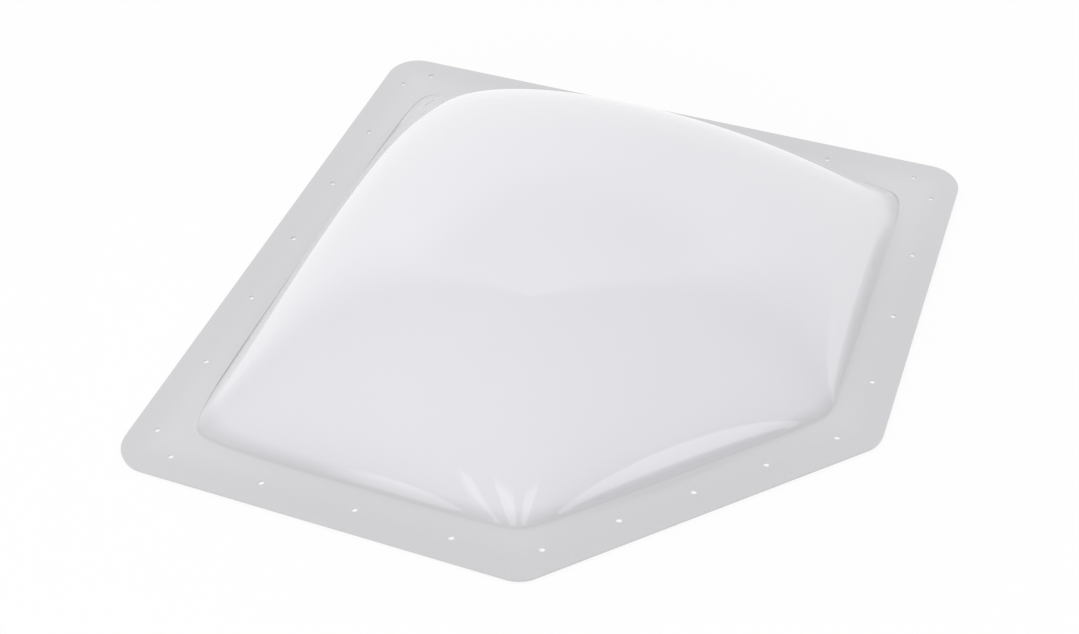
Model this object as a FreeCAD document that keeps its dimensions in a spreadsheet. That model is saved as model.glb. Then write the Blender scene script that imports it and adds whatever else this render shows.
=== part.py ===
import FreeCAD, Part
import math
import os

import Sketcher

# Neo-angle bubble skylight: one sheet of plastic, moulded into a drilled flange and a blown dome.
# Its outline is a square with one corner cut off, that corner lying towards +X and -Y.
# Origin: middle of the whole square, on the underside of the flange. +Z points up out of the roof.

DRIVING_SIZES = [
    ("long_side", 711.2, "the flange's two whole sides"),
    ("short_side", 438.15, "the flange's two sides beside the cut-off corner"),
    ("corner_radius", 36.0, "rounding of the flange's corners, seen from above"),
    ("sheet", 3.2, "thickness of the sheet, in the flange and in the dome"),
    ("foot_inset", 53.0, "from the flange's edge to the line where dome and flange would meet"),
    ("foot_radius", 6.0, "bend between flange and dome, on top"),
    ("dome_height", 170.0, "crown above the top of the flange"),
    ("side_reach", 152.0, "how far from a side its hold on the blown sheet has fallen to 1"),
    ("corner_easing", 1.8, "how much the dome's corners are eased, 0 being sharp"),
    ("blunt_share", 0.1, "how much of two holds' product counts at a blunt corner of the dome"),
    ("hole_diameter", 6.35, "screw holes"),
    ("hole_inset", 26.5, "from the flange's edge to the screw holes"),
    ("long_row_count", 7, "holes along a whole side, the row centred on it"),
    ("long_row_pitch", 101.0, "between those holes"),
    ("short_row_count", 4, "holes along a side beside the cut-off corner"),
    ("short_row_pitch", 100.3, "between those holes"),
    ("short_row_start", 56.8, "from the square corner to the first of those holes"),
    ("cut_row_count", 5, "holes along the cut-off corner, the row centred on it"),
    ("cut_row_pitch", 79.8, "between those holes"),
]

# How the blown skin is divided: a cap round the crown, a band below it and the bend at the foot
CAP_SHARE = 0.8
ALONG_STEPS = 8
BAND_STEPS = 5
BEND_STEPS = 3
CORNER_CROWDING = 1.3
SLOPE_STEP = 0.01
SEARCH_ROUNDS = 60
UP = FreeCAD.Vector(0, 0, 1)

doc = FreeCAD.newDocument("skylight")


def make_sizes():
    sheet = doc.addObject("Spreadsheet::Sheet", "sizes")
    for row, (alias, value, meaning) in enumerate(DRIVING_SIZES, start=1):
        sheet.set("A%d" % row, alias)
        sheet.set("B%d" % row, str(value))
        sheet.set("C%d" % row, meaning)
        sheet.setAlias("B%d" % row, alias)
    doc.recompute()
    return sheet


sizes = make_sizes()
half = sizes.long_side / 2


# Sketch helpers: every sketch lies on its own body's XY plane and takes its sizes from the sheet

def new_sketch(body, name):
    plane = [item for item in body.Origin.OriginFeatures if item.Role == "XY_Plane"][0]
    sketch = body.newObject("Sketcher::SketchObject", name)
    sketch.AttachmentSupport = [(plane, "")]
    sketch.MapMode = "FlatFace"
    return sketch


def bind(sketch, name, constraint, expression):
    index = sketch.addConstraint(constraint)
    sketch.renameConstraint(index, name)
    sketch.setExpression("Constraints." + name, expression)


# Flange: the drilled plate that lies on the roof

def outline_corners(inset=0.0):
    """The outline's corners moved inwards, from the back left one round by the cut-off corner."""
    edge = half - inset
    cut = sizes.short_side - half - inset * (math.sqrt(2) - 1)
    return [
        FreeCAD.Vector(-edge, edge, 0),
        FreeCAD.Vector(-edge, -edge, 0),
        FreeCAD.Vector(cut, -edge, 0),
        FreeCAD.Vector(edge, -cut, 0),
        FreeCAD.Vector(edge, edge, 0),
    ]


def add_outline(body):
    sketch = new_sketch(body, "outline")
    corners = outline_corners()
    count = len(corners)
    for index, start in enumerate(corners):
        sketch.addGeometry(Part.LineSegment(start, corners[(index + 1) % count]), False)
    left, front, cut, right, back = range(count)
    for index in range(count):
        sketch.addConstraint(Sketcher.Constraint("Coincident", index, 2, (index + 1) % count, 1))
    for side in (left, right):
        sketch.addConstraint(Sketcher.Constraint("Vertical", side))
    for side in (front, back):
        sketch.addConstraint(Sketcher.Constraint("Horizontal", side))
    across = Sketcher.Constraint("DistanceX", front, 1, -1, 1, half)
    along = Sketcher.Constraint("DistanceY", front, 1, -1, 1, half)
    bind(sketch, "middle_across", across, "sizes.long_side / 2")
    bind(sketch, "middle_along", along, "sizes.long_side / 2")
    for name, side in (("left_side", left), ("back_side", back)):
        bind(sketch, name, Sketcher.Constraint("Distance", side, sizes.long_side), "sizes.long_side")
    for name, side in (("front_side", front), ("right_side", right)):
        bind(sketch, name, Sketcher.Constraint("Distance", side, sizes.short_side), "sizes.short_side")
    return sketch


def add_hole_row(body, name, across, along, angle, pitch, count):
    """Drills one hole, then repeats it at an angle from +X. across and along are expressions."""
    sketch = new_sketch(body, name + "_first")
    radius = sizes.hole_diameter / 2
    centre = FreeCAD.Vector(0, 0, 0)
    ahead = FreeCAD.Vector(math.cos(angle), math.sin(angle), 0) * radius
    circle = sketch.addGeometry(Part.Circle(centre, FreeCAD.Vector(0, 0, 1), radius), False)
    run = sketch.addGeometry(Part.LineSegment(centre, ahead), True)
    sketch.addConstraint(Sketcher.Constraint("Coincident", run, 1, circle, 3))
    sketch.addConstraint(Sketcher.Constraint("PointOnObject", run, 2, circle))
    sketch.addConstraint(Sketcher.Constraint("Angle", run, angle))
    diameter = Sketcher.Constraint("Diameter", circle, sizes.hole_diameter)
    bind(sketch, "hole", diameter, "sizes.hole_diameter")
    bind(sketch, "across", Sketcher.Constraint("DistanceX", -1, 1, circle, 3, 0.0), across)
    bind(sketch, "along", Sketcher.Constraint("DistanceY", -1, 1, circle, 3, 0.0), along)
    drilling = body.newObject("PartDesign::Pocket", name + "_drilling")
    drilling.Profile = sketch
    drilling.Type = "ThroughAll"
    drilling.Midplane = True
    row = body.newObject("PartDesign::LinearPattern", name)
    row.Originals = [drilling]
    row.Direction = (sketch, ["Axis0"])
    row.Mode = "Spacing"
    row.setExpression("Offset", pitch)
    row.setExpression("Occurrences", count)
    body.Tip = row
    doc.recompute()


def upright_edges(shape):
    names = []
    for index, edge in enumerate(shape.Edges, start=1):
        if edge.BoundBox.ZLength > sizes.sheet / 2:
            names.append("Edge%d" % index)
    return names


def make_flange():
    body = doc.addObject("PartDesign::Body", "flange")
    plate = body.newObject("PartDesign::Pad", "plate")
    plate.Profile = add_outline(body)
    plate.setExpression("Length", "sizes.sheet")
    doc.recompute()
    rounding = body.newObject("PartDesign::Fillet", "rounded_corners")
    rounding.Base = (plate, upright_edges(plate.Shape))
    rounding.setExpression("Radius", "sizes.corner_radius")
    doc.recompute()

    edge = "(sizes.long_side / 2 - sizes.hole_inset)"
    first_long = "-(sizes.long_row_count - 1) / 2 * sizes.long_row_pitch"
    first_short = "(sizes.long_side / 2 - sizes.short_row_start)"
    long_row = ("sizes.long_row_pitch", "sizes.long_row_count")
    short_row = ("sizes.short_row_pitch", "sizes.short_row_count")
    cut_row = ("sizes.cut_row_pitch", "sizes.cut_row_count")
    cut_middle = "(sizes.short_side / 2 - sizes.hole_inset / sqrt(2))"
    cut_back = "(sizes.cut_row_count - 1) / 2 * sizes.cut_row_pitch / sqrt(2)"
    up, ahead, down, slant = math.pi / 2, 0.0, -math.pi / 2, math.pi / 4
    add_hole_row(body, "left_row", "-" + edge, first_long, up, *long_row)
    add_hole_row(body, "back_row", first_long, edge, ahead, *long_row)
    add_hole_row(body, "front_row", "-" + first_short, "-" + edge, ahead, *short_row)
    add_hole_row(body, "right_row", edge, first_short, down, *short_row)
    across = cut_middle + " - " + cut_back
    along = "-" + cut_middle + " - " + cut_back
    add_hole_row(body, "cut_row", across, along, slant, *cut_row)
    return body


# Dome: each of the five sides holds the blown sheet down less and less with the distance from it.
# At a square corner the two sides' holds multiply, so the sheet rises slowly out of it. At the two
# blunt corners, beside the cut-off one, they mostly add, and the sheet rises out of them steeply.

def side_distances(x, y):
    """How far a point lies inside each of the five foot lines."""
    edge = half - sizes.foot_inset
    cut = (y - x + sizes.short_side) / math.sqrt(2) - sizes.foot_inset
    return (x + edge, y + edge, edge - x, edge - y, cut)


def eased(distance):
    """The distance itself well inside, the easing at the foot line, and never far below it."""
    floor = sizes.side_reach / 2
    bend = sizes.corner_easing * (sizes.corner_easing + floor)
    return (distance - floor + math.sqrt((distance + floor) ** 2 + 4 * bend)) / 2


def freedom(x, y):
    """How freely the sheet rises at a point: 0 at a foot line, nearing 1 far from all of them."""
    distances = side_distances(x, y)
    left, front, right, back, cut = [sizes.side_reach / eased(distance) for distance in distances]
    near_cut = (1 + front) * (1 + right) + cut * (1 + sizes.blunt_share * (front + right))
    return 1 / ((1 + left) * (1 + back) * near_cut)


def find_crown():
    """The highest point, which lies on the diagonal through the cut-off corner."""
    low, high = -half, half
    for _ in range(SEARCH_ROUNDS):
        third = (high - low) / 3
        if freedom(low + third, -low - third) < freedom(high - third, third - high):
            low += third
        else:
            high -= third
    return FreeCAD.Vector(low, -low, 0)


crown = find_crown()
crown_freedom = freedom(crown.x, crown.y)
foot_freedom = freedom(sizes.foot_inset - half, 0.0)


def height(x, y):
    """The top of the dome above the underside of the flange."""
    share = (freedom(x, y) - foot_freedom) / (crown_freedom - foot_freedom)
    return sizes.sheet + sizes.dome_height * share


def skin_normal(place):
    x, y = place.x, place.y
    slope_x = (height(x + SLOPE_STEP, y) - height(x - SLOPE_STEP, y)) / (2 * SLOPE_STEP)
    slope_y = (height(x, y + SLOPE_STEP) - height(x, y - SLOPE_STEP)) / (2 * SLOPE_STEP)
    outward = FreeCAD.Vector(-slope_x, -slope_y, 1)
    outward.normalize()
    return outward


def skin_point(place, depth):
    """A point of the blown surface, or that far under it, square to the sheet."""
    top = FreeCAD.Vector(place.x, place.y, height(place.x, place.y))
    return top - skin_normal(place) * depth


def find_contact(target):
    """Where a bend as round as foot_radius, lying on the flange, leaves the skin on the way out."""
    low, high = 0.0, 1.0
    for _ in range(SEARCH_ROUNDS):
        middle = (low + high) / 2
        place = crown + (target - crown) * middle
        clear = height(place.x, place.y) - sizes.sheet
        if clear > sizes.foot_radius * (1 - skin_normal(place).z):
            low = middle
        else:
            high = middle
    return crown + (target - crown) * low


def bend_point(contact, turn, depth):
    """A point of the bend: turn goes from 0 on the flange to 1 where the bend meets the skin."""
    outward = skin_normal(contact)
    centre = skin_point(contact, 0.0) + outward * sizes.foot_radius
    sideways = FreeCAD.Vector(outward.x, outward.y, 0)
    sideways.normalize()
    angle = math.acos(outward.z) * turn
    direction = UP * math.cos(angle) + sideways * math.sin(angle)
    return centre - direction * (sizes.foot_radius + depth)


def steps(count, crowding=1.0):
    """Shares from 0 to 1, closer together towards 1 with more crowding."""
    return [1 - (1 - step / count) ** crowding for step in range(count + 1)]


ALONG = steps(ALONG_STEPS, CORNER_CROWDING)
DOWN_WALL = steps(BAND_STEPS)
DOWN_BEND = steps(BEND_STEPS)


def interpolated(points, shares):
    """A cubic curve that passes each point at its share of the way."""
    curve = Part.BSplineCurve()
    curve.interpolate(Points=points, Parameters=shares)
    return curve


def smooth_face(rows, down, across):
    """The face through a grid of points, woven from curves across it and down it."""
    ribs = [interpolated(row, across).getPoles() for row in rows]
    lines = [interpolated(list(column), down) for column in zip(*ribs)]
    net = [list(row) for row in zip(*[line.getPoles() for line in lines])]
    u, v = lines[0], interpolated(rows[0], across)
    surface = Part.BSplineSurface()
    surface.buildFromPolesMultsKnots(net, u.getMultiplicities(), v.getMultiplicities(), u.getKnots(),
                                     v.getKnots(), False, False, u.Degree, v.Degree)
    return surface.toShape()


def cap_face(corner, side_before, side_after, depth):
    """From the crown to one corner of the cap and the middles of the two sides beside it."""
    rows = []
    for before in ALONG:
        row = []
        for after in ALONG:
            inner = crown * ((1 - before) * (1 - after)) + corner * (before * after)
            place = inner + side_before * (before * (1 - after)) + side_after * (after * (1 - before))
            row.append(skin_point(place, depth))
        rows.append(row)
    return smooth_face(rows, ALONG, ALONG)


def foot_faces(corner, middle, depth):
    """Half a side below the cap: the band of wall down to the bend, then the bend itself."""
    wall, bend = [], []
    for share in ALONG:
        target = middle + (corner - middle) * share
        upper = crown + (target - crown) * CAP_SHARE
        contact = find_contact(target)
        wall.append([skin_point(upper + (contact - upper) * down, depth) for down in DOWN_WALL])
        bend.append([bend_point(contact, 1 - out, depth) for out in DOWN_BEND])
    return [smooth_face(wall, ALONG, DOWN_WALL), smooth_face(bend, ALONG, DOWN_BEND)]


def half_sides():
    """Each corner of the foot line with the middle of the side before it and of the side after."""
    corners = outline_corners(sizes.foot_inset)
    count = len(corners)
    middles = [(corners[index] + corners[(index + 1) % count]) / 2 for index in range(count)]
    return [(corners[index], middles[index - 1], middles[index]) for index in range(count)]


def skin_faces(depth):
    faces = []
    for corner, before, after in half_sides():
        upper = [crown + (place - crown) * CAP_SHARE for place in (corner, before, after)]
        faces.append(cap_face(*upper, depth))
        faces += foot_faces(corner, before, depth) + foot_faces(corner, after, depth)
    return faces


def rim_edges():
    """The closed line on the flange's underside where the bend begins."""
    edges = []
    for corner, before, after in half_sides():
        for middle in (before, after):
            targets = [middle + (corner - middle) * share for share in ALONG]
            points = [bend_point(find_contact(target), 0.0, sizes.sheet) for target in targets]
            edges.append(interpolated(points, ALONG).toShape())
    return edges


def make_feature(name, shape):
    feature = doc.addObject("Part::Feature", name)
    feature.Shape = shape
    return feature


def make_dome():
    rim = [edge.extrude(UP * sizes.sheet) for edge in rim_edges()]
    shell = Part.makeShell(skin_faces(0.0) + skin_faces(sizes.sheet) + rim)
    shell.sewShape()
    return make_feature("blown_dome", Part.makeSolid(shell))


def make_opening():
    wire = Part.Wire(Part.sortEdges(rim_edges())[0])
    return make_feature("opening", Part.Face(wire).extrude(UP * sizes.sheet))


# The moulding: the flange opened for the dome, and the dome joined to it

def join(kind, name, base, tool):
    feature = doc.addObject(kind, name)
    feature.Base = base
    feature.Tool = tool
    doc.recompute()
    return feature


flange = make_flange()
blown_dome = make_dome()
opening = make_opening()
open_flange = join("Part::Cut", "open_flange", flange, opening)
skylight = join("Part::Fuse", "skylight", open_flange, blown_dome)
skylight.Label = "skylight_dome"
skylight.Placement = FreeCAD.Placement(FreeCAD.Vector(0, 0, 0), FreeCAD.Rotation())
doc.recompute()


# Checks, then one file for each piece

def check_document():
    for item in doc.Objects:
        if "Invalid" in item.State or "Error" in item.State:
            raise RuntimeError("failed object: " + item.Name)


def check_piece(piece):
    shape = piece.Shape
    if shape.isNull() or not shape.isValid() or len(shape.Solids) != 1:
        raise RuntimeError("bad shape: " + piece.Label)
    box = shape.BoundBox
    print(piece.Label, "size", round(box.XLength, 2), round(box.YLength, 2), round(box.ZLength, 2),
          "volume", round(shape.Volume), "faces", len(shape.Faces))


PIECES = [skylight]

check_document()
os.makedirs("parts", exist_ok=True)
for piece in PIECES:
    check_piece(piece)
    piece.Shape.exportStep("parts/%s.step" % piece.Label)
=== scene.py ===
import bmesh
import bpy
import math
from mathutils import Matrix, Vector


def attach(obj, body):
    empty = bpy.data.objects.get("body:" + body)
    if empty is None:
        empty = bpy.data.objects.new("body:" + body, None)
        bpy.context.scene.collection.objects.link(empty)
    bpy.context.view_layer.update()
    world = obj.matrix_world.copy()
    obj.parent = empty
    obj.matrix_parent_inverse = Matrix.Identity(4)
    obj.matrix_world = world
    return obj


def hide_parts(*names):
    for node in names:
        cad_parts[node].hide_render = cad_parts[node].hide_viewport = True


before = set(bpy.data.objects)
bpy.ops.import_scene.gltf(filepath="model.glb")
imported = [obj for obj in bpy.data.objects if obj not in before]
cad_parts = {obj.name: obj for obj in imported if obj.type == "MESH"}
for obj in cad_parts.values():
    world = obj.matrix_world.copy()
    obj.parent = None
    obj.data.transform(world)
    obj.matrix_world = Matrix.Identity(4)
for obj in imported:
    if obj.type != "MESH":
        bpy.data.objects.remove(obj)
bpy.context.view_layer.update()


# A wire is a socket of a node, and python expressions on wires add the nodes

class Wire:
    def __init__(self, tree, socket=None):
        self.tree = tree
        self.socket = socket

    def add(self, kind, settings=None, inputs=None, output=0):
        node = self.tree.nodes.new(kind)
        for name, value in (settings or {}).items():
            setattr(node, name, value)
        for name, value in (inputs or {}).items():
            if isinstance(value, list):  # several links into one socket
                for wire in value:
                    self.tree.links.new(wire.socket, node.inputs[name])
            elif isinstance(value, Wire):
                self.tree.links.new(value.socket, node.inputs[name])
            else:
                node.inputs[name].default_value = value
        return Wire(self.tree, node.outputs[output] if node.outputs else None)

    def out(self, name):  # another output of the same node
        return Wire(self.tree, self.socket.node.outputs[name])

    def calc(self, operation, *values):
        return self.add("ShaderNodeMath", {"operation": operation}, dict(enumerate(values)))

    def fade(self, low, high):  # 0 below low, 1 above high, smooth between them
        sockets = {"Value": self, "From Min": low, "From Max": high}
        return self.add("ShaderNodeMapRange", {"interpolation_type": "SMOOTHSTEP"}, sockets)

    def between(self, start, full, falling, end):  # comes up, stays at 1 and goes down again
        return self.fade(start, full) * (1 - self.fade(falling, end))

    def larger(self, other):
        return self.calc("MAXIMUM", self, other)

    def __abs__(self):
        return self.calc("ABSOLUTE", self)

    def __add__(self, other):
        return self.calc("ADD", self, other)

    def __radd__(self, other):
        return self.calc("ADD", other, self)

    def __sub__(self, other):
        return self.calc("SUBTRACT", self, other)

    def __rsub__(self, other):
        return self.calc("SUBTRACT", other, self)

    def __mul__(self, other):
        return self.calc("MULTIPLY", self, other)

    def __rmul__(self, other):
        return self.calc("MULTIPLY", other, self)

    def __truediv__(self, other):
        return self.calc("DIVIDE", self, other)

    def __rtruediv__(self, other):
        return self.calc("DIVIDE", other, self)

    def __pow__(self, other):
        return self.calc("POWER", self, other)


def addObject(name, data):
    item = bpy.data.objects.new(name, data)
    bpy.context.scene.collection.objects.link(item)
    return item


# The sheet is laid out flat here, and the geometry nodes drill it and blow it

sheetSizes = {
    "longSide": 0.7112,
    "shortSide": 0.43815,
    "cornerRadius": 0.036,
    "sheet": 0.0032,
    "footInset": 0.053,  # the line where dome and flange would meet without a bend
    "footRadius": 0.006,
    "domeHeight": 0.170,
    "sideReach": 0.152,  # how far from a side its hold on the blown sheet has fallen to 1
    "cornerEasing": 0.0018,  # what that distance counts as at the foot, which rounds its corners
    "bluntShare": 0.1,  # how much of two holds' product counts at a blunt corner
}

layout = {
    "capShare": 0.55,  # the cap round the crown, as a share of the way to the foot
    "along": 26,  # stations along half a side
    "crowding": 1.6,  # closer together at the corners
    "wallRings": 26,
    "wallCrowding": 1.5,  # closer together at the foot
    "bendRings": 10,
    "apron": (0.001, 0.003),  # flat rings outside the bend
    "crownRounds": 60,  # thirds cut off while the crown is searched for
    "contactRounds": 50,  # halvings while the bend's upper edge is searched for
    "slopeStep": 1e-5,
    "merge": 1e-6,
}

halfSide = sheetSizes["longSide"] / 2
slanted = math.sqrt(2)  # the cut-off corner lies at 45 degrees


def outlineCorners(inset=0.0):
    edge = halfSide - inset
    cut = sheetSizes["shortSide"] - halfSide - inset * (slanted - 1)
    places = ((-edge, edge), (-edge, -edge), (cut, -edge), (edge, -cut), (edge, edge))
    return [Vector(place) for place in places]


def eased(distance):
    floor = sheetSizes["sideReach"] / 2
    bend = sheetSizes["cornerEasing"] * (sheetSizes["cornerEasing"] + floor)
    return (distance - floor + math.sqrt((distance + floor) ** 2 + 4 * bend)) / 2


# Two sides' holds multiply at a square corner, and mostly add at a blunt one
def freedom(x, y):
    edge = halfSide - sheetSizes["footInset"]
    cut = (y - x + sheetSizes["shortSide"]) / slanted - sheetSizes["footInset"]
    distances = (x + edge, y + edge, edge - x, edge - y, cut)
    holds = [sheetSizes["sideReach"] / eased(distance) for distance in distances]
    left, front, right, back, slant = holds
    nearCut = (1 + front) * (1 + right) + slant * (1 + sheetSizes["bluntShare"] * (front + right))
    return 1 / ((1 + left) * (1 + back) * nearCut)


def findCrown():  # it lies on the diagonal through the cut-off corner
    low, high = -halfSide, halfSide
    for _ in range(layout["crownRounds"]):
        third = (high - low) / 3
        if freedom(low + third, -low - third) < freedom(high - third, third - high):
            low += third
        else:
            high -= third
    return Vector((low, -low))


crown = findCrown()
freedomAtCrown = freedom(crown.x, crown.y)
freedomAtFoot = freedom(sheetSizes["footInset"] - halfSide, 0.0)


def rise(place):
    share = (freedom(place.x, place.y) - freedomAtFoot) / (freedomAtCrown - freedomAtFoot)
    return sheetSizes["domeHeight"] * share


def steepness(place):
    step = layout["slopeStep"]
    across = rise(place + Vector((step, 0))) - rise(place - Vector((step, 0)))
    along = rise(place + Vector((0, step))) - rise(place - Vector((0, step)))
    return Vector((across, along)) / (2 * step)


def findContact(target):  # where the foot's bend leaves the wall, on the way from the crown
    low, high = 0.0, 1.0
    for _ in range(layout["contactRounds"]):
        middle = (low + high) / 2
        place = crown.lerp(target, middle)
        upright = 1 / math.sqrt(1 + steepness(place).length_squared)
        if rise(place) > sheetSizes["footRadius"] * (1 - upright):
            low = middle
        else:
            high = middle
    return crown.lerp(target, low)


def crowded(count, power):
    return [1 - (1 - step / count) ** power for step in range(count + 1)]


def addGrid(mesh, rows):  # rows of flat places become a sheet of quads
    points = [[mesh.verts.new((place.x, place.y, 0)) for place in row] for row in rows]
    for upper, lower in zip(points, points[1:]):
        for a, b, c, d in zip(upper, upper[1:], lower[1:], lower):
            mesh.faces.new((a, b, c, d))


def capRows(corner, before, after, shares):  # the cap's part towards one corner of the foot
    corner, before, after = [crown.lerp(place, layout["capShare"])
                             for place in (corner, before, after)]
    rows = []
    for s in shares:
        rows.append([crown * ((1 - s) * (1 - t)) + corner * (s * t) + before * (s * (1 - t))
                     + after * (t * (1 - s)) for t in shares])
    return rows


def wallLine(target, down):  # from the cap down the wall, round the bend and onto the flange
    upper, contact = crown.lerp(target, layout["capShare"]), findContact(target)
    line = [upper.lerp(contact, step) for step in down]
    slope = steepness(contact)
    turn, outward = math.atan(slope.length), -slope.normalized()
    for ring in range(1, layout["bendRings"] + 1):  # even steps of the turn
        left = turn * (1 - ring / layout["bendRings"])
        reach = sheetSizes["footRadius"] * (math.sin(turn) - math.sin(left))
        line.append(contact + outward * reach)
    return line + [line[-1] + outward * margin for margin in layout["apron"]]


def layOutBlank():
    mesh = bmesh.new()
    corners = outlineCorners(sheetSizes["footInset"])
    shares = crowded(layout["along"], layout["crowding"])
    down = crowded(layout["wallRings"], layout["wallCrowding"])
    for index, corner in enumerate(corners):
        before = (corners[index - 1] + corner) / 2
        after = (corner + corners[(index + 1) % len(corners)]) / 2
        addGrid(mesh, capRows(corner, before, after, shares))
        for middle in (before, after):
            addGrid(mesh, [wallLine(middle.lerp(corner, share), down) for share in shares])
    bmesh.ops.remove_doubles(mesh, verts=mesh.verts, dist=layout["merge"])
    bmesh.ops.recalc_face_normals(mesh, faces=mesh.faces)
    if mesh.faces[0].normal.z < 0:
        bmesh.ops.reverse_faces(mesh, faces=mesh.faces)
    ends = [mesh.verts.new((place.x, place.y, 0)) for place in outlineCorners()]
    for index, end in enumerate(ends):
        mesh.edges.new((end, ends[(index + 1) % len(ends)]))
    blank = bpy.data.meshes.new("sheetBlank")
    mesh.to_mesh(blank)
    mesh.free()
    return blank


# Geometry nodes for the height of the blown skin over a place on the flat sheet

def newTree(name, inputs, outputs):
    tree = bpy.data.node_groups.new(name, "GeometryNodeTree")
    for kind, sockets in (("INPUT", inputs), ("OUTPUT", outputs)):
        for socketName, socketType in sockets:
            tree.interface.new_socket(socketName, in_out=kind, socket_type=socketType)
    entry, leave = tree.nodes.new("NodeGroupInput"), tree.nodes.new("NodeGroupOutput")
    wires = {socketName: Wire(tree, entry.outputs[socketName]) for socketName, _ in inputs}
    return tree, wires, leave


ruleSizes = ["longSide", "shortSide", "footInset", "domeHeight", "sideReach", "cornerEasing",
             "bluntShare", "freedomAtCrown", "freedomAtFoot"]


def makeRiseGroup():
    inputs = [("place", "NodeSocketVector")] + [(name, "NodeSocketFloat") for name in ruleSizes]
    tree, size, leave = newTree("blownRise", inputs, [("rise", "NodeSocketFloat")])
    parts = size["place"].add("ShaderNodeSeparateXYZ", inputs={0: size["place"]})
    x, y = parts.out("X"), parts.out("Y")
    edge = size["longSide"] / 2 - size["footInset"]
    cut = (y - x + size["shortSide"]) / slanted - size["footInset"]
    floor = size["sideReach"] / 2
    bend = 4 * size["cornerEasing"] * (size["cornerEasing"] + floor)
    holds = []
    for distance in (x + edge, y + edge, edge - x, edge - y, cut):
        above = distance + floor
        free = (distance - floor + (above * above + bend) ** 0.5) / 2
        holds.append(size["sideReach"] / free)
    left, front, right, back, slant = holds
    nearCut = (1 + front) * (1 + right) + slant * (1 + size["bluntShare"] * (front + right))
    free = 1 / ((1 + left) * (1 + back) * nearCut)
    share = (free - size["freedomAtFoot"]) / (size["freedomAtCrown"] - size["freedomAtFoot"])
    tree.links.new((share * size["domeHeight"]).socket, leave.inputs["rise"])
    return tree


# Geometry nodes that fill the flange round the blank, drill it and blow all of it

drilling = {
    "holeRadius": 0.003175,
    "holeSides": 28,
    "holeInset": 0.0265,  # from the outline to a hole's middle
    "longRow": (7, 0.101),  # holes along a whole side, centred on it, and how far apart they are
    "shortRow": (4, 0.1003),  # along a side beside the cut-off corner
    "shortStart": 0.0568,  # from the square corner to the first of those
    "cutRow": (5, 0.0798),  # along the cut-off corner, centred on it
    "cornerSteps": 14,
}

blowing = {
    "probe": 2e-4,  # how far either side of a place its slope is taken
    "leastSlope": 1e-6,  # the crown is level, and heights are divided by the slope
    "merge": 5e-6,
    "sharpFrom": math.radians(40),  # between two faces
}


def findHoleRows():  # each row's first hole, step to the next and count
    edge = halfSide - drilling["holeInset"]
    longCount, longStep = drilling["longRow"]
    longFirst = -(longCount - 1) / 2 * longStep
    shortCount, shortStep = drilling["shortRow"]
    shortFirst = halfSide - drilling["shortStart"]
    cutCount, cutPitch = drilling["cutRow"]
    cutStep = cutPitch / slanted
    cutMiddle = sheetSizes["shortSide"] / 2 - drilling["holeInset"] / slanted
    cutBack = (cutCount - 1) / 2 * cutStep
    return {
        "left": ((-edge, longFirst, 0), (0, longStep, 0), longCount),
        "back": ((longFirst, edge, 0), (longStep, 0, 0), longCount),
        "front": ((-shortFirst, -edge, 0), (shortStep, 0, 0), shortCount),
        "right": ((edge, shortFirst, 0), (0, -shortStep, 0), shortCount),
        "cut": ((cutMiddle - cutBack, -cutMiddle - cutBack, 0), (cutStep, cutStep, 0), cutCount),
    }


holeRows = findHoleRows()


def edgesWith(faces, count):  # where this many faces meet; sockets 2 and 3 take whole numbers
    settings = {"data_type": "INT", "operation": "EQUAL"}
    return faces.add("FunctionNodeCompare", settings, {2: faces, 3: count})


def addHoleRings(start, size):
    rows = []
    for row in holeRows:
        rows.append(start.add("GeometryNodeMeshLine", {"mode": "OFFSET", "count_mode": "TOTAL"}, {
            "Count": size[row + "Count"], "Start Location": size[row + "First"],
            "Offset": size[row + "Step"]}))
    places = start.add("GeometryNodeJoinGeometry", inputs={"Geometry": rows})
    ring = start.add("GeometryNodeCurvePrimitiveCircle", {"mode": "RADIUS"}, {
        "Resolution": drilling["holeSides"], "Radius": size["holeRadius"]})
    rings = start.add("GeometryNodeInstanceOnPoints", inputs={"Points": places, "Instance": ring})
    return start.add("GeometryNodeRealizeInstances", inputs={"Geometry": rings})


def addLift(start, size, riseGroup):  # the wall's height, and near the foot that of its bend
    place = start.add("GeometryNodeInputPosition")
    probe = blowing["probe"]
    rises = []
    for shift in ((0, 0, 0), (probe, 0, 0), (0, probe, 0), (-probe, 0, 0), (0, -probe, 0)):
        moved = start.add("ShaderNodeVectorMath", {"operation": "ADD"}, {0: place, 1: shift})
        values = {name: size[name] for name in ruleSizes}
        settings = {"node_tree": riseGroup}
        rises.append(start.add("GeometryNodeGroup", settings, {"place": moved, **values}))
    across = (rises[1] - rises[3]) / (2 * probe)
    along = (rises[2] - rises[4]) / (2 * probe)
    slope = (across * across + along * along) ** 0.5 + blowing["leastSlope"]
    turn = slope.calc("ARCTANGENT", slope)
    reach = size["footRadius"] * turn.calc("TANGENT", turn / 2)  # of the bend, from the foot line
    fromFoot = rises[0] / slope
    into = (fromFoot + reach).larger(0.0)
    under = size["footRadius"] * size["footRadius"] - into * into
    bend = size["footRadius"] - under.larger(0.0) ** 0.5
    onWall = fromFoot.calc("GREATER_THAN", fromFoot, reach * turn.calc("COSINE", turn))
    return onWall * rises[0] + (1 - onWall) * bend


def moveUp(start, shape, height):
    offset = start.add("ShaderNodeCombineXYZ", inputs={"Z": height})
    return start.add("GeometryNodeSetPosition", inputs={"Geometry": shape, "Offset": offset})


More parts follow.
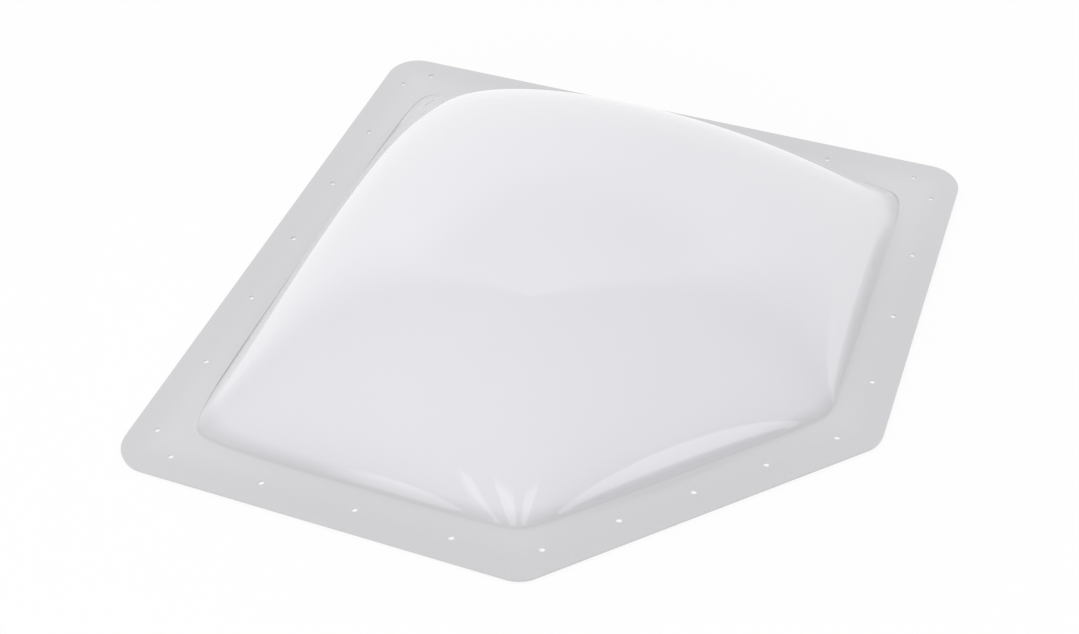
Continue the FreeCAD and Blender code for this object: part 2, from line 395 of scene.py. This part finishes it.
def makeBlowingTree(riseGroup, material):
    floats = ruleSizes + ["cornerRadius", "footRadius", "sheet", "holeRadius"]
    inputs = [("Geometry", "NodeSocketGeometry")] + [(name, "NodeSocketFloat") for name in floats]
    for row in holeRows:
        inputs += [(row + "First", "NodeSocketVector"), (row + "Step", "NodeSocketVector"),
                   (row + "Count", "NodeSocketInt")]
    tree, size, leave = newTree("blownSheet", inputs, [("Geometry", "NodeSocketGeometry")])
    start = Wire(tree)
    blank = size["Geometry"]

    faces = start.add("GeometryNodeInputMeshEdgeNeighbors")
    loose, border = edgesWith(faces, 0), edgesWith(faces, 1)  # the outline, and the apron's rim
    outline = start.add("GeometryNodeMeshToCurve", inputs={"Mesh": blank, "Selection": loose})
    outline = start.add("GeometryNodeFilletCurve", {"mode": "POLY"}, {
        "Curve": outline, "Count": drilling["cornerSteps"], "Radius": size["cornerRadius"]})
    rim = start.add("GeometryNodeMeshToCurve", inputs={"Mesh": blank, "Selection": border})
    lines = [outline, rim, addHoleRings(start, size)]
    lines = start.add("GeometryNodeJoinGeometry", inputs={"Geometry": lines})
    flange = start.add("GeometryNodeFillCurve", inputs={"Curve": lines})

    dome = start.add("GeometryNodeDeleteGeometry", {"domain": "EDGE"}, {
        "Geometry": blank, "Selection": loose})
    dome = moveUp(start, dome, addLift(start, size, riseGroup))
    whole = start.add("GeometryNodeJoinGeometry", inputs={"Geometry": [dome, flange]})
    whole = start.add("GeometryNodeMergeByDistance", inputs={
        "Geometry": whole, "Distance": blowing["merge"]})
    whole = moveUp(start, whole, size["sheet"])
    whole = start.add("GeometryNodeSetShadeSmooth", inputs={"Geometry": whole})
    whole = start.add("GeometryNodeRealizeInstances", inputs={"Geometry": whole})
    whole = start.add("GeometryNodeSetMaterial", inputs={"Geometry": whole, "Material": material})
    tree.links.new(whole.socket, leave.inputs["Geometry"])
    return tree


def setInputs(modifier, values):
    for item in modifier.node_group.interface.items_tree:
        if item.item_type == "SOCKET" and item.in_out == "INPUT" and item.name in values:
            modifier[item.identifier] = values[item.name]


def sharpenEdges(data):  # the sawn edges and the drilled holes
    mesh = bmesh.new()
    mesh.from_mesh(data)
    for face in mesh.faces:
        face.smooth = True
    for edge in mesh.edges:
        inside = len(edge.link_faces) == 2
        edge.smooth = inside and edge.calc_face_angle(0) < blowing["sharpFrom"]
    mesh.to_mesh(data)
    mesh.free()


def makeSkylight(material):
    piece = addObject("blownSkylight", layOutBlank())
    print("blank laid out", len(piece.data.polygons), "faces")
    modifier = piece.modifiers.new("blowing", "NODES")
    modifier.node_group = makeBlowingTree(makeRiseGroup(), material)
    values = {**sheetSizes, "holeRadius": drilling["holeRadius"],
              "freedomAtCrown": freedomAtCrown, "freedomAtFoot": freedomAtFoot}
    for row, (first, step, count) in holeRows.items():
        values.update({row + "First": first, row + "Step": step, row + "Count": count})
    setInputs(modifier, values)
    thickness = piece.modifiers.new("thickness", "SOLIDIFY")
    thickness.thickness = sheetSizes["sheet"]
    thickness.offset = -1  # all of it goes inwards
    thickness.use_even_offset = True
    blown = piece.evaluated_get(bpy.context.evaluated_depsgraph_get())
    finished = bpy.data.meshes.new_from_object(blown)
    piece.modifiers.clear()
    piece.data = finished
    sharpenEdges(finished)
    print("sheet blown", len(finished.polygons), "faces")
    return piece


# The finish is that of glossy translucent white polycarbonate, with painted light and shade in
# its base colour

plastic = {
    # painted light and shade: flange, foot and dome are one sheet, given darker and lighter
    # copies of one colour by how light falls on them
    "flange": (0.595, 0.59, 0.615),
    # painted light: the flange lighter towards the foot, standing in for light through the
    # translucent dome and cancelling the shade beside the wall
    "litInnerFlange": (0.645, 0.64, 0.665),
    "innerFade": (0.050, 0.012),  # how deep inside the outline one turns into the other
    "foot": (0.65, 0.645, 0.675),
    "footRise": (0.0002, 0.003),  # over the flange
    "dome": (0.785, 0.78, 0.825),
    "domeFade": (0.004, 0.020),  # painted light: the dome lighter with height, standing in for light through the translucent sheet
    "rightRise": 0.010,  # painted shade and reflection: how much higher the grey foot reaches on the right-hand wall
    "rightAcross": (0.20, 0.28),  # where that wall is
    "rightAlong": (-0.05, 0.07, 0.16, 0.25),
    "bend": (0.16, 0.16, 0.17),  # painted shade: a dark line in the crease along the foot
    "creaseShadeRise": (0.0001, 0.0006, 0.0010, 0.0026),  # where it starts and ends, over the flange
    "creaseShadeShare": 0.07,  # how much of it is left where it is faintest
    "creaseShadeSlant": (-0.30, 0.10),  # it is stronger away from the cut side,
    "creaseShadeAlong": (-0.30, -0.21),  # from the front
    "creaseShadeRight": ((0.27, 0.29), (0.27, 0.30)),  # and from the right-hand side
    "creaseShadeCloud": (0.1, 0.5),
    "cornerShade": (0.42, 0.42, 0.43),  # painted shade: darker low in the two back corners
    "cornerShadeShare": 0.5,
    "cornerShadePlace": 0.300,  # how far out and back those corners lie
    "cornerShadeReach": (0.022, 0.075),
    "cornerShadeRise": (0.0001, 0.0008, 0.007, 0.028),
    "cornerShadeCloud": (0.2, 0.5),
    "edgeShade": (0.50, 0.50, 0.51),  # painted shade: the walls of the outline darker
    "edgeShadeDepth": (0.020, 0.015),
    # painted light: the walls of the drilled holes lighter, cancelling the shade inside them
    "drilled": (0.80, 0.80, 0.81),
    "wallFacing": (0.2, 0.5),  # walls face sideways and lie below the flange's top
    "wallRise": (-0.0002, 0.0001),
    "cloud": (9.0, 3.0),  # scale and detail of the noise, as in the next two
    "haze": (26.0, 5.0),
    "sway": (14.0, 1.0),
    "cloudFade": (0.3, 0.7),
    "cloudShare": 0.03,
    "ripple": 0.00002,  # how far the sheet strays from smooth
    "roughness": (0.018, 0.045),
    "coatRoughness": 0.008,
    "gloss": 0.95,
    "refraction": 1.7,
}


def mixColours(share, first, second):  # sockets 6 and 7 and output 2 are the colours
    ends = {6: first if isinstance(first, Wire) else (*first, 1), 7: (*second, 1)}
    return share.add("ShaderNodeMix", {"data_type": "RGBA"}, {0: share, **ends}, output=2)


def addNoise(place, grain):
    scale, detail = grain
    inputs = {"Vector": place, "Scale": scale, "Detail": detail}
    return place.add("ShaderNodeTexNoise", inputs=inputs)


def fromOutline(out, depths):  # fades in towards the outline, between two depths inside it
    return out.fade(*[halfSide - depth for depth in depths])


def mixTone(place, cloud):
    parts = place.add("ShaderNodeSeparateXYZ", inputs={0: place})
    x, y, height = parts.out("X"), parts.out("Y"), parts.out("Z")
    over = height - sheetSizes["sheet"]
    out = (x - y - sheetSizes["shortSide"]) / slanted + halfSide
    out = out.larger(abs(x).larger(abs(y)))  # how far out, the same on all five sides

    # painted light on the flange towards the foot
    inner = fromOutline(out, plastic["innerFade"])
    tone = mixColours(inner, plastic["litInnerFlange"], plastic["flange"])
    # painted shade at the foot and painted light on the dome, over the flange's tone
    tone = mixColours(over.fade(*plastic["footRise"]), tone, plastic["foot"])
    # painted shade and reflection: the grey foot reaches higher on the right-hand wall
    rightBandShade = x.fade(*plastic["rightAcross"]) * y.between(*plastic["rightAlong"])
    clear = (height - rightBandShade * plastic["rightRise"]).fade(*plastic["domeFade"])
    tone = mixColours(clear, tone, plastic["dome"])

    # painted shade low in the two back corners
    across, along = abs(x) - plastic["cornerShadePlace"], y - plastic["cornerShadePlace"]
    fromCorner = (across * across + along * along) ** 0.5
    cornerShade = (1 - fromCorner.fade(*plastic["cornerShadeReach"])) * over.between(*plastic["cornerShadeRise"])
    cornerShade = cornerShade * plastic["cornerShadeShare"] * cloud.fade(*plastic["cornerShadeCloud"])
    tone = mixColours(cornerShade, tone, plastic["cornerShade"])

    # painted shade in the crease along the foot
    rightAcross, rightAlong = plastic["creaseShadeRight"]
    backward = (y - x).fade(*plastic["creaseShadeSlant"]) * y.fade(*plastic["creaseShadeAlong"])
    backward = backward * (1 - x.fade(*rightAcross) * (1 - y.fade(*rightAlong)))
    creaseShade = plastic["creaseShadeShare"] + backward * (1 - plastic["creaseShadeShare"])
    creaseShade = over.between(*plastic["creaseShadeRise"]) * creaseShade * cloud.fade(*plastic["creaseShadeCloud"])
    tone = mixColours(creaseShade, tone, plastic["bend"])

    normal = place.out("Normal")
    facing = normal.add("ShaderNodeSeparateXYZ", inputs={0: normal}, output="Z")
    wall = 1 - abs(facing).fade(*plastic["wallFacing"])
    wall = wall * (1 - over.fade(*plastic["wallRise"]))
    rim = fromOutline(out, plastic["edgeShadeDepth"])
    # painted shade on the outline's walls
    tone = mixColours(wall * rim, tone, plastic["edgeShade"])
    # painted light on the walls of the drilled holes
    tone = mixColours(wall * (1 - rim), tone, plastic["drilled"])
    clouded = cloud.fade(*plastic["cloudFade"]) * plastic["cloudShare"]
    return mixColours(clouded, tone, plastic["flange"])


def makePlastic():
    material = bpy.data.materials.new("glossyWhitePolycarbonate")
    material.use_nodes = True
    tree = material.node_tree
    shader = tree.nodes["Principled BSDF"]
    place = Wire(tree).add("ShaderNodeTexCoord", output="Object")
    tone = mixTone(place, addNoise(place, plastic["cloud"]))
    low, high = plastic["roughness"]
    rough = low + addNoise(place, plastic["haze"]) * (high - low)
    bump = place.add("ShaderNodeBump", inputs={
        "Height": addNoise(place, plastic["sway"]), "Distance": plastic["ripple"],
        "Strength": 1.0})
    for wire, name in ((tone, "Base Color"), (rough, "Roughness"), (bump, "Normal")):
        tree.links.new(wire.socket, shader.inputs[name])
    for name, value in (("IOR", plastic["refraction"]),
                        ("Specular IOR Level", plastic["gloss"]),
                        ("Coat Weight", 1.0),  # the sheet's far face mirrors as well
                        ("Coat Roughness", plastic["coatRoughness"]),
                        ("Coat IOR", plastic["refraction"])):
        shader.inputs[name].default_value = value
    return material


skylight = makeSkylight(makePlastic())
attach(skylight, "root")
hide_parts("skylight_dome")
print("skylight made")


# The studio has a white floor and backdrop, darker sides, and windows that the gloss mirrors.
# Directions are in degrees: sideways from +Y towards +X, and upwards.

studio = {
    "camera": Vector((0.4480, -1.1845, 1.2422)),
    "right": Vector((0.9352, 0.3533, -0.0257)),
    "up": Vector((-0.2318, 0.6652, 0.7097)),
    "lens": 55.20,
    "sensor": 36,
    "floorColour": (0.97, 0.97, 0.97),
    "floorReach": 12,
    "floorDrop": 0.0008,
    "floorGlow": 0.85,  # how much of its white doesn't depend on the light
    "world": 0.97,
    "backdrop": (-10, 50, 80),  # its middle, and how far from that it starts and ends to fade
    "sides": 0.62,  # how bright the studio's sides look in the gloss, beside the white backdrop
    "ceiling": 0.80,
    "ceilingRise": (35, 65),
    "cove": (3.5, 4.5),  # how far up the white floor sweeps in front
    "coveAround": (156, 161),
    "rightSide": 0.10,  # how much of the light is left low down on the right
    "rightAround": (70, 30, 60),  # as the backdrop's
    "rightRise": (10, 35),
    "windows": (((146, 157), (12, 30)), ((168, 180), (12, 30)), ((-172, -169), (14, 23))),
    "windowEdges": (1, 2),  # half the width of their soft edges, beside and above
    "leftSoftbox": ((-1.6, -0.6, 1.8), (0, 0, 0), (1.6, 1.6), 1.5),  # place, aim, size, power
    "frontSoftbox": ((1.0, -2.2, 0.9), (0, 0, 0.05), (1.6, 0.8), 6),
}


def mirroredRays(path):
    return path.out("Is Glossy Ray").larger(path.out("Is Transmission Ray"))


def addFloor():
    mesh = bmesh.new()
    bmesh.ops.create_grid(mesh, x_segments=1, y_segments=1, size=studio["floorReach"])
    data = bpy.data.meshes.new("studioFloor")
    mesh.to_mesh(data)
    mesh.free()
    data.transform(Matrix.Translation((0, 0, -studio["floorDrop"])))
    floor = addObject("studioFloor", data)
    material = bpy.data.materials.new("paleFloor")
    material.use_nodes = True
    tree = material.node_tree
    tree.nodes.clear()
    start = Wire(tree)
    path = start.add("ShaderNodeLightPath")
    seen = path.out("Is Camera Ray").larger(mirroredRays(path))
    matt = start.add("ShaderNodeBsdfDiffuse", inputs={"Color": (*studio["floorColour"], 1)})
    glow = start.add("ShaderNodeEmission", inputs={"Color": (1, 1, 1, 1), "Strength": 1.0})
    mixed = start.add("ShaderNodeMixShader", inputs={
        0: seen * studio["floorGlow"], 1: matt, 2: glow})
    start.add("ShaderNodeOutputMaterial", inputs={"Surface": mixed})
    data.materials.append(material)


def softPane(around, up, sides, heights):
    beside, above = studio["windowEdges"]
    (first, last), (low, high) = sides, heights
    pane = around.between(first - beside, first + beside, last - beside, last + beside)
    return pane * up.between(low - above, low + above, high - above, high + above)


def addWorld():
    world = bpy.data.worlds.new("studio")
    world.use_nodes = True
    bpy.context.scene.world = world
    tree = world.node_tree
    tree.nodes.clear()
    start = Wire(tree)
    path = start.add("ShaderNodeLightPath")
    direction = start.add("ShaderNodeTexCoord", output="Generated")
    parts = start.add("ShaderNodeSeparateXYZ", inputs={0: direction})
    degrees = math.degrees(1)
    around = parts.calc("ARCTAN2", parts.out("X"), parts.out("Y")) * degrees
    up = parts.calc("ARCSINE", parts.out("Z")) * degrees

    middle, near, far = studio["backdrop"]
    white = 1 - abs(around - middle).fade(near, far)
    for sides, heights in studio["windows"]:
        white = white.larger(softPane(around, up, sides, heights))
    cove = abs(around).fade(*studio["coveAround"]) * (1 - up.fade(*studio["cove"]))
    white = white.larger(cove)
    mirrored = studio["sides"] + white * (1 - studio["sides"])
    ceiling = 1 - up.fade(*studio["ceilingRise"]) * (1 - studio["ceiling"])
    mirrored = mirrored.calc("MINIMUM", mirrored, ceiling)

    middle, near, far = studio["rightAround"]
    dim = (1 - abs(around - middle).fade(near, far)) * (1 - up.fade(*studio["rightRise"]))
    light = studio["world"] * (1 - dim * (1 - studio["rightSide"]))
    camera, gloss = path.out("Is Camera Ray"), mirroredRays(path)
    strength = camera + (1 - camera) * (gloss * mirrored + (1 - gloss) * light)
    back = start.add("ShaderNodeBackground", inputs={"Color": (1, 1, 1, 1), "Strength": strength})
    start.add("ShaderNodeOutputWorld", inputs={"Surface": back})


def addLamp(name):
    place, aim, size, power = studio[name]
    light = bpy.data.lights.new(name, "AREA")
    light.shape = "RECTANGLE"
    light.size, light.size_y = size
    light.energy = power
    lamp = addObject(name, light)
    lamp.location = place
    lamp.rotation_euler = (Vector(aim) - Vector(place)).to_track_quat("-Z", "Y").to_euler()
    lamp.visible_glossy = False


def addCamera():
    view = bpy.data.cameras.new("photoView")
    view.sensor_width = studio["sensor"]
    view.lens = studio["lens"]
    camera = addObject("photoView", view)
    right, up = studio["right"].normalized(), studio["up"].normalized()
    back = right.cross(up).normalized()
    turn = Matrix((right, back.cross(right), back)).transposed().to_4x4()
    camera.matrix_world = Matrix.Translation(studio["camera"]) @ turn
    bpy.context.scene.camera = camera


addFloor()
addWorld()
addLamp("leftSoftbox")
addLamp("frontSoftbox")
addCamera()
bpy.context.scene.view_settings.view_transform = "Standard"
print("studio ready")
